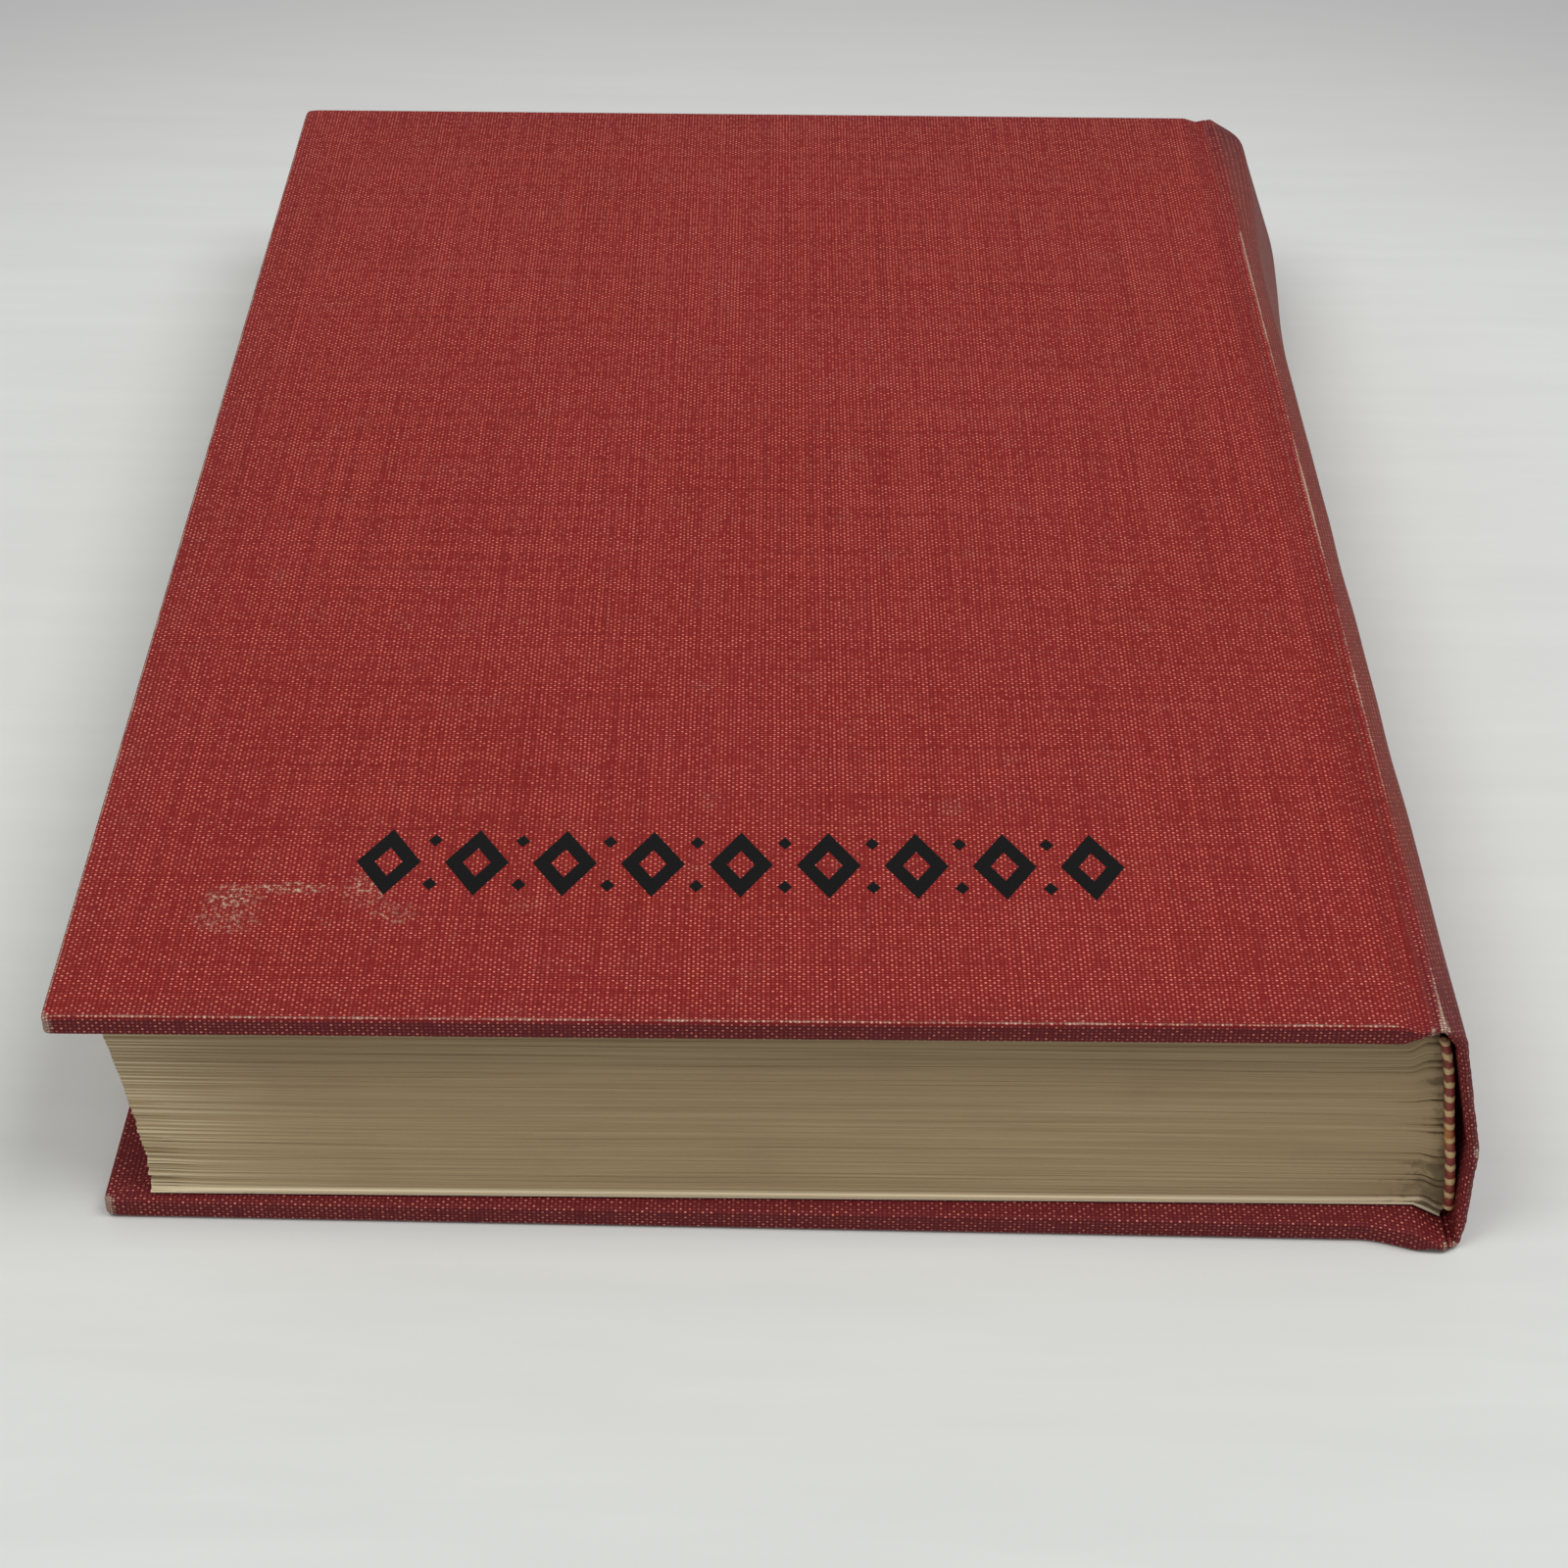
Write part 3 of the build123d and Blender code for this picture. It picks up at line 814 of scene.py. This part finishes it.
def mix(share, first, second):
    """The first colour where share is 0 and the second where it is 1."""
    made = add_node("Mix", share)
    made.data_type = "RGBA"
    plug(made.inputs[6], first)
    plug(made.inputs[7], second)
    return Wire(made.outputs[2])


def noise(place, scale=1.0, detail=2.0, rough=0.5):
    made = add_node("TexNoise", place)
    feed(made, Scale=scale, Detail=detail, Roughness=rough)
    return Wire(made.outputs[0])


def ramp(value, low, high, to_low=0.0, to_high=1.0):
    """A soft step from to_low, where value is low, to to_high, where it is high."""
    made = add_node("MapRange", value, low, high, to_low, to_high)
    made.interpolation_type = "SMOOTHSTEP"
    return Wire(made.outputs[0])


KINDS = {1: "NodeSocketFloat", 3: "NodeSocketVector", 4: "NodeSocketColor"}
ORIGIN = (0.0, 0.0, 0.0)


def new_group(name, **inputs):
    """A shader node group. Its inputs are named here with their usual value: a number, a vector or a
    colour. Returns the group, a function that names and feeds one output, and the inputs' wires."""
    group = bpy.data.node_groups.new(name, "ShaderNodeTree")
    start = group.nodes.new("NodeGroupInput")
    end = group.nodes.new("NodeGroupOutput")
    for label, value in inputs.items():
        label, kind = label.replace("_", " "), KINDS[np.size(value)]
        group.interface.new_socket(label, in_out="INPUT", socket_type=kind).default_value = value

    def give(label, value, kind=KINDS[1]):
        group.interface.new_socket(label, in_out="OUTPUT", socket_type=kind)
        plug(end.inputs[label], value)

    return group, give, [Wire(output) for output, _ in zip(start.outputs, inputs)]


def use_group(group, place, **values):
    """Places a group in the tree of place, which feeds its first input; returns its outputs by name."""
    made = add_node("Group", place)
    made.node_tree = group
    plug(made.inputs[0], place)
    feed(made, **values)
    return {output.name: Wire(output) for output in made.outputs}


# %% [markdown]
# ## Woven thread
#
# Plain weave goes over one thread and under the next, so its tops stand on a chequerboard. Two sines
# multiplied give that board: positive where a warp thread lies on top, negative for a weft thread.
# The threads wander a little, each crossing has its own strength, and long streaks run both ways,
# where a thread is thick or took the dye badly. Pitches are in millimetres of flat cloth.

# %% The weave group
WARP_PITCH = 0.5
WEFT_PITCH = 0.42
WANDER_STRETCH = (0.9, 0.12)
STREAK_STRETCH = (0.014, 1.3)


def build_weave():
    group, give, (flat, warp_pitch, weft_pitch, wander) = new_group(
        "Woven thread", Flat=ORIGIN, Warp_pitch=WARP_PITCH, Weft_pitch=WEFT_PITCH, Wander=0.5
    )
    x, y, _ = split(flat)
    across, along = WANDER_STRETCH
    drift_x = noise(vector(x * across, y * along)) - 0.5
    drift_y = noise(vector(x * along, y * across, 7.0)) - 0.5
    column = x / warp_pitch + drift_x * wander
    row = y / weft_pitch + drift_y * wander
    board = calc("SINE", column * math.pi) * calc("SINE", row * math.pi)
    mound = calc("POWER", calc("ABSOLUTE", board), 0.6)
    cell = add_node("TexWhiteNoise", vector(calc("FLOOR", column), calc("FLOOR", row)))
    cell.noise_dimensions = "2D"
    along, across = STREAK_STRETCH
    long_x = noise(vector(x * along, y * across, 3.0), rough=0.6)
    long_y = noise(vector(x * across, y * along, 11.0), rough=0.6)
    streak = (long_x + long_y) * 0.5
    tops = ramp(board, 0.5, 0.92) + ramp(board * -1.0, 0.7, 1.0) * 0.25
    give("Speck", tops * ramp(Wire(cell.outputs[0]) + streak * 2.4, 0.95, 2.45))
    give("Height", mound)
    give("Streak", streak)
    give("Valley", ramp(mound, 0.45, 0.0))
    return group


weave = build_weave()

# %% [markdown]
# ## Wear and blotches
#
# Rubbed cloth loses colour on its raised threads first, so wear is a mask that a piece gives, broken up
# by a coarse and a fine noise; on the covers it also carries a painted highlight on the edges' rounding.
# The same group breaks up the leaves' painted shade in the gaps between sections and their darker tone
# beside the back. A second group is one soft blot at a place on the flat cloth, for scrapes.


# %% The wear group and the spot group
def build_wear():
    group, give, (flat, mask, grain, reach) = new_group(
        "Broken wear and shade", Flat=ORIGIN, Mask=0.0, Grain=2.0, Reach=0.6
    )
    fine = noise(scaled(flat, grain), detail=3.0, rough=0.65)
    broken = fine * 0.65 + noise(flat, 0.16) * 0.35
    wear_and_painted_light = ramp(broken - (1.0 - mask * reach) * 0.8, -0.08, 0.14)
    give("Worn", wear_and_painted_light * calc("MINIMUM", mask * 3.0, 1.0))
    return group


def build_spot():
    group, give, given = new_group("Soft spot", Flat=ORIGIN, Centre=ORIGIN, Size=(1.0, 1.0, 1.0))
    places = list(zip(*(split(wire) for wire in given)))
    away_x, away_y = ((place - centre) / size for place, centre, size in places[:2])
    give("Inside", ramp(away_x * away_x + away_y * away_y, 1.0, 0.0))
    return group


wear = build_wear()
spot = build_spot()
print("node groups:", [group.name for group in bpy.data.node_groups])

# %% [markdown]
# ## Materials
#
# Each finish is one Principled shader fed by the groups. Colours are written in linear light, as Blender
# wants them; tint() turns a screen colour from 0 to 255 into that.


# %% A material and its colours
def tint(red, green, blue):
    """A screen colour, 0 to 255, in linear light."""
    share = np.array([red, green, blue]) / 255
    linear = np.where(share <= 0.04045, share / 12.92, ((share + 0.055) / 1.055) ** 2.4)
    return (*linear.tolist(), 1.0)


def new_material(name, on_solid=False):
    """A material, its Principled shader and its place: the flat UV map, in millimetres, or on the
    frame's own solids their Object coordinates, in metres."""
    material = bpy.data.materials.new(name)
    material.use_nodes = True
    nodes = material.node_tree.nodes
    if on_solid:
        place = nodes.new("ShaderNodeTexCoord").outputs["Object"]
    else:
        flat = nodes.new("ShaderNodeUVMap")
        flat.uv_map = "flat"
        place = flat.outputs[0]
    return material, nodes["Principled BSDF"], Wire(place)


def masks(material):
    """The three masks of the piece's marks."""
    marks = material.node_tree.nodes.new("ShaderNodeAttribute")
    marks.attribute_name = "marks"
    parts = add_node("SeparateColor", Wire(marks.outputs["Color"]))
    return [Wire(output) for output in parts.outputs]


def finish_shader(shader, colour, roughness, specular=0.5):
    """Feeds colour and roughness; a plain number is set on the shader's own socket."""
    feed(shader, Base_Color=colour, Roughness=roughness, Specular_IOR_Level=specular)


def add_bump(shader, height, strength, distance):
    """Bump from a height; the distance is in metres."""
    made = height.tree.nodes.new("ShaderNodeBump")
    feed(made, Strength=strength, Distance=distance, Height=height)
    feed(shader, Normal=Wire(made.outputs[0]))


def dress(material, *names):
    """Puts a material on pieces, or on the frame's own nodes, by their names."""
    for name in names:
        slots = bpy.data.objects[name].data.materials
        slots.clear()
        slots.append(material)
    print(material.name, "is on", *names)


# %% Book cloth
SCRAPES = [
    ((18.4, 21.0, 0), (4.2, 3.0, 1), 0.9),
    ((25.0, 22.8, 0), (5.6, 1.4, 1), 1.0),
    ((18.2, 17.0, 0), (5.2, 3.2, 1), 0.45),
    ((33.8, 22.6, 0), (3.6, 4.0, 1), 0.5),
    ((37.4, 18.4, 0), (3.2, 2.6, 1), 0.4),
]


def cloth_material():
    """Red ground, darker thread valleys as painted shade, pale specks on the thread tops, streaks,
    sunning on the spine, wear with a painted highlight on the edges' rounding, soiling with painted shade
    on the board's edge faces, a darker back cover and strip ends, and scrapes.
    """
    material, shader, flat = new_material("red book cloth")
    # The first mask is wear with a painted highlight on the edges' rounding; the third is soiling with
    # painted shade on the board's edge faces and a darker back cover and strip ends.
    wear_and_painted_light, sunned, soil_and_edge_shade = masks(material)
    threads = use_group(weave, flat, Warp_pitch=WARP_PITCH, Weft_pitch=WEFT_PITCH, Wander=0.6)
    red = mix(ramp(threads["Streak"], 0.36, 0.66), tint(126, 21, 18), tint(140, 25, 19))
    red = mix(ramp(noise(flat, 0.03, 3.0, 0.55), 0.35, 0.65, 0.0, 0.35), red, tint(136, 24, 29))
    # Darker red in the valleys between threads: painted shade.
    red = mix(threads["Valley"] * 0.5, red, tint(78, 12, 14))
    red = mix(sunned * 0.62, red, tint(112, 66, 56))
    # Soiling mixed in, which also paints shade on the board's edge faces.
    red = mix(soil_and_edge_shade * 0.66, red, tint(80, 26, 34))
    shown = threads["Speck"] * ((0.95 + wear_and_painted_light * 0.9) * (1.0 - sunned * 0.5))
    colour = mix(calc("MINIMUM", shown, 0.95), red, tint(238, 142, 120))
    rubbed = use_group(wear, flat, Mask=wear_and_painted_light, Grain=2.6, Reach=0.6)["Worn"]
    bare = rubbed * (0.12 + threads["Height"] * 0.5) + threads["Speck"]
    colour = mix(calc("MINIMUM", rubbed * bare, 0.95), colour, tint(204, 182, 160))
    scrape = 0.0
    for place, size, depth in SCRAPES:
        inside = use_group(spot, flat, Centre=place, Size=size)["Inside"]
        scrape = calc("MAXIMUM", scrape, inside * depth)
    crumbs = ramp(noise(flat, 1.45, 4.0, 0.76), 0.51, 0.66)
    colour = mix(scrape * 0.3, colour, tint(120, 50, 40))
    colour = mix(calc("MINIMUM", scrape * (crumbs * 1.4), 0.9), colour, tint(206, 176, 150))
    finish_shader(shader, colour, ramp(threads["Height"], 0.0, 1.0, 0.72, 0.5), 0.18)
    add_bump(shader, threads["Height"] + threads["Streak"] * 0.5, 0.5, 0.0001)
    return material


dress(cloth_material(), "front_cloth", "back_cloth", "spine_strip")


# %% Edges of the leaves
def leaf_material():
    """Toned paper edges: fine lines along the leaves, a paler first leaf, pale fanned lines that paint
    light on the fore corner, painted shade towards the top and in the gaps between sections, and darker
    tones low near the back and beside it.
    """
    material, shader, flat = new_material("leaf edges")
    pale, top_shade_low_back_dark, gap_shade_and_back_dark = masks(material)
    x, y, _ = split(flat)
    lines = noise(vector(x * 0.018, y * 2.6), 1.0, 4.0, 0.62)
    fine = noise(vector(x * 0.06, y * 11.0))
    tone = mix(ramp(lines, 0.3, 0.72), tint(162, 139, 104), tint(184, 162, 126))
    tone = mix(ramp(lines, 0.36, 0.27, 0.0, 0.28), tone, tint(128, 108, 76))
    tone = mix(ramp(fine, 0.35, 0.7, 0.0, 0.3), tone, tint(140, 121, 90))
    tone = mix(ramp(noise(flat, 0.07, 3.0), 0.5, 0.8, 0.0, 0.35), tone, tint(152, 126, 100))
    # Darker towards the top: painted shade under the front cover; darker low near the back.
    tone = mix(top_shade_low_back_dark * 0.3, tone, tint(142, 122, 94))
    # Paler first leaf, and pale fanned lines that paint light on the fore corner.
    tone = mix(calc("MINIMUM", pale * 0.75, 1.0), tone, tint(250, 234, 196))
    # Darker in the gaps between sections: painted shade, broken up; darker beside the back too.
    broken_gap_shade_back_dark = use_group(wear, flat, Mask=gap_shade_and_back_dark, Grain=0.8, Reach=0.8)["Worn"]
    tone = mix(broken_gap_shade_back_dark * 0.6, tone, tint(96, 80, 58))
    finish_shader(shader, tone, 0.8, 0.2)
    add_bump(shader, lines + fine * 0.6, 0.4, 0.0001)
    return material


dress(leaf_material(), "leaves")

# %% [markdown]
# ## Papers, boards and threads
#
# The frame's own solids inside the book keep their shape and get finishes on Object coordinates, in
# metres: endpapers a little toned, grey board, open gauze, sewing thread and the spine's card.


# %% The paper group
def build_paper():
    group, give, (place, light, toned) = new_group(
        "Laid fibres", Place=ORIGIN, Light=(0.8, 0.75, 0.6, 1.0), Toned=(0.6, 0.5, 0.35, 1.0)
    )
    cloud = noise(place, 28.0, 4.0, 0.55)
    fleck = noise(place, 900.0, 1.0)
    tone = mix(ramp(cloud, 0.3, 0.8, 0.0, 0.6), light, toned)
    give("Colour", mix(ramp(fleck, 0.68, 0.78, 0.0, 0.35), tone, (0.28, 0.2, 0.11, 1.0)), KINDS[4])
    give("Height", noise(place, 2600.0, 3.0, 0.6))
    return group


paper = build_paper()


def paper_material(name, light, toned, roughness=0.85, bump=0.00003):
    """A plain sheet or board."""
    material, shader, place = new_material(name, on_solid=True)
    made = use_group(paper, place, Light=tint(*light), Toned=tint(*toned))
    finish_shader(shader, made["Colour"], roughness, 0.2)
    add_bump(shader, made["Height"], 0.35, bump)
    return material


def gauze_material():
    """Stiffened gauze: the weave group again, open and coarse, pale thread over darker glue."""
    material, shader, place = new_material("mull gauze", on_solid=True)
    x, y, z = split(place)
    flat = vector((x + z) * PER_METRE, y * PER_METRE)
    threads = use_group(weave, flat, Warp_pitch=0.9, Weft_pitch=0.9, Wander=0.9)
    finish_shader(shader, mix(threads["Valley"], tint(214, 202, 172), tint(150, 132, 98)), 0.75)
    add_bump(shader, threads["Height"], 0.5, 0.00015)
    return material


# %% Dressing what is inside the book
endpaper = paper_material("endpaper", (226, 214, 184), (219, 205, 173))
grey_board = paper_material("grey board", (150, 142, 126), (128, 120, 104), 0.9, 0.00006)
card_paper = paper_material("spine card", (158, 134, 100), (132, 110, 80), 0.9, 0.00005)
lining = paper_material("brown lining paper", (170, 138, 96), (148, 118, 80), 0.85, 0.00004)
sewing = paper_material("linen thread", (222, 214, 194), (196, 184, 158), 0.7, 0.00006)

for side in ("front", "back"):
    dress(endpaper, f"{side}_flyleaf", f"{side}_paper_hinge", f"{side}_pasted_sheet")
dress(grey_board, "front_board", "back_board")
dress(card_paper, "spine_card")
dress(lining, "spine_lining")
dress(sewing, "sewing_threads")
dress(gauze_material(), "mull", "front_mull_flange", "back_mull_flange")


# %% Silk of the headbands
def silk_material():
    """Cream and red wraps by turns along the band, darker between the fine threads as painted shade, and
    a yellowed glue spot.
    """
    material, shader, flat = new_material("headband silk")
    x, y, _ = split(flat)
    turn = calc("FRACT", (x + WRAP_START) / WRAP_PITCH)
    turn = calc("FRACT", turn + noise(flat, 1.1, 3.0, 0.6) * 0.5)
    red_share = ramp(turn, 0.34, 0.46) * ramp(turn, 1.0, 0.92)
    thread = calc("SINE", x * (2 * math.pi / SILK_THREAD))
    colour = mix(red_share, tint(214, 184, 132), tint(138, 52, 42))
    # Darker between the silk threads: painted shade.
    colour = mix(ramp(thread, 0.2, -1.0, 0.0, 0.4), colour, tint(96, 50, 36))
    colour = mix(masks(material)[1] * 0.7, colour, tint(196, 142, 62))
    colour = mix(ramp(y, TAPE_FLAT / 2, TAPE_FLAT / 2 + 1), colour, tint(190, 170, 132))
    finish_shader(shader, colour, 0.5)
    add_bump(shader, thread, 0.4, 0.00006)
    return material


dress(silk_material(), "silk_band_head", "silk_band_tail")


# %% Foil
def foil_material():
    """Black foil: a dull gloss, with the pressed weave faintly in it and tiny rubbed flecks."""
    material, shader, flat = new_material("black foil")
    threads = use_group(weave, flat, Warp_pitch=WARP_PITCH, Weft_pitch=WEFT_PITCH, Wander=0.7)
    rubbed = noise(flat, 2.2, 3.0, 0.7)
    colour = mix(ramp(rubbed, 0.68, 0.78, 0.0, 0.7), tint(8, 6, 7), tint(70, 22, 24))
    finish_shader(shader, colour, ramp(rubbed, 0.3, 0.75, 0.16, 0.4), 0.16)
    add_bump(shader, threads["Height"], 0.18, 0.00008)
    return material


dress(foil_material(), "foil_ornament")

# %% [markdown]
# ## Floor and light
#
# The book lies on a pale sheet under two wide soft lamps. The world gives even light. The sheet's
# colour is painted paler in a pool round the book and greyer further out: a painted pool of light. Far
# off, the camera sees the sheet and the world in one even tone, so the floor runs on without an edge.

# %% The floor
BACKDROP = tint(182, 181, 182)
FLOOR_REACH = 6000.0
FLOOR_LEVEL = -0.02
POOL_SHIFT = 60.0


def floor_piece():
    """A wide plane just under the table's height."""
    reach = np.array([-FLOOR_REACH, FLOOR_REACH])
    x, y = np.meshgrid(reach, reach, indexing="ij")
    return make_piece("floor", [patch(grid(x, y, FLOOR_LEVEL), grid(x, y))])


def show_instead(share, usual, backdrop, end):
    """Mixes the backdrop's shader in by a share, and feeds the tree's end."""
    choose = add_node("MixShader", share, Wire(usual.outputs[0]), Wire(backdrop.outputs[0]))
    plug(end.inputs[0], Wire(choose.outputs[0]))


def camera_rays(tree):
    """1 where the camera looks straight at the surface, and 0 for light that bounces."""
    return Wire(tree.nodes.new("ShaderNodeLightPath").outputs["Is Camera Ray"])


def floor_material():
    """Pale sheet with a faint ribbing, painted paler round the book and greyer from 190 to 370 mm out: a
    painted pool of light. Far off, the camera sees the backdrop's even tone instead.
    """
    material, shader, flat = new_material("pale floor")
    nodes = material.node_tree.nodes
    x, y, _ = split(flat)
    rib = noise(vector(x * 0.02, y * 0.16), detail=3.0)
    y = y + POOL_SHIFT
    distance = calc("SQRT", x * x + y * y)
    colour = mix(rib, tint(212, 214, 211), tint(222, 224, 221))
    # Paler round the book, greying towards the backdrop's tone further out: a painted pool of light.
    finish_shader(shader, mix(ramp(distance, 190.0, 370.0), colour, BACKDROP), 0.8, 0.15)
    even = nodes.new("ShaderNodeEmission")
    feed(even, Color=BACKDROP)
    far = ramp(distance, 420.0, 1000.0) * camera_rays(material.node_tree)
    show_instead(far, shader, even, nodes["Material Output"])
    return material


floor = floor_piece()
dress(floor_material(), "floor")


# %% Lamps and world
def soft_lamp(name, place, size, power, colour):
    """A round area lamp that points at the middle of the book; place and size are in metres."""
    data = bpy.data.lights.new(name, "AREA")
    data.shape = "DISK"
    data.size = size
    data.energy = power
    data.color = colour
    lamp = bpy.data.objects.new(name, data)
    lamp.location = place
    lamp.rotation_euler = (-Vector(place)).to_track_quat("-Z", "Y").to_euler()
    scene.collection.objects.link(lamp)


soft_lamp("left ceiling lamp", (-0.6, -0.2, 1.2), 0.7, 5.2, (1.0, 0.985, 0.96))
soft_lamp("right ceiling lamp", (0.55, -0.14, 1.2), 0.8, 7.5, (1.0, 0.99, 0.98))

world = bpy.data.worlds.new("soft room")
scene.world = world
world.use_nodes = True
sky = world.node_tree.nodes["Background"]
feed(sky, Color=(0.93, 0.94, 0.96, 1.0), Strength=0.44)
seen = world.node_tree.nodes.new("ShaderNodeBackground")
feed(seen, Color=BACKDROP, Strength=1.0)
show_instead(camera_rays(world.node_tree), sky, seen, world.node_tree.nodes["World Output"])
scene.view_settings.view_transform = "Standard"

# %% [markdown]
# ## The camera
#
# The camera stands in front of the head edge and looks down at the book. Its place, pitch, roll and
# lens come from fitting the cover's corners to where they stand in the photograph.

# %% Placing the camera
PITCH = 0.6502
ROLL = 0.0124
YAW = 0.0098
CAMERA_PLACE = (0.00494, -0.36493, 0.25304)

lens = bpy.data.cameras.new("camera")
lens.sensor_width = 36.0
lens.lens = 69.45
lens.clip_start = 0.01
camera = bpy.data.objects.new("camera", lens)
scene.collection.objects.link(camera)
tilt = Matrix.Rotation(math.pi / 2 - PITCH, 4, "X") @ Matrix.Rotation(ROLL, 4, "Z")
camera.matrix_world = Matrix.Translation(CAMERA_PLACE) @ Matrix.Rotation(YAW, 4, "Z") @ tilt
bpy.context.scene.camera = camera
print("the camera looks down by", round(math.degrees(PITCH), 1), "degrees")
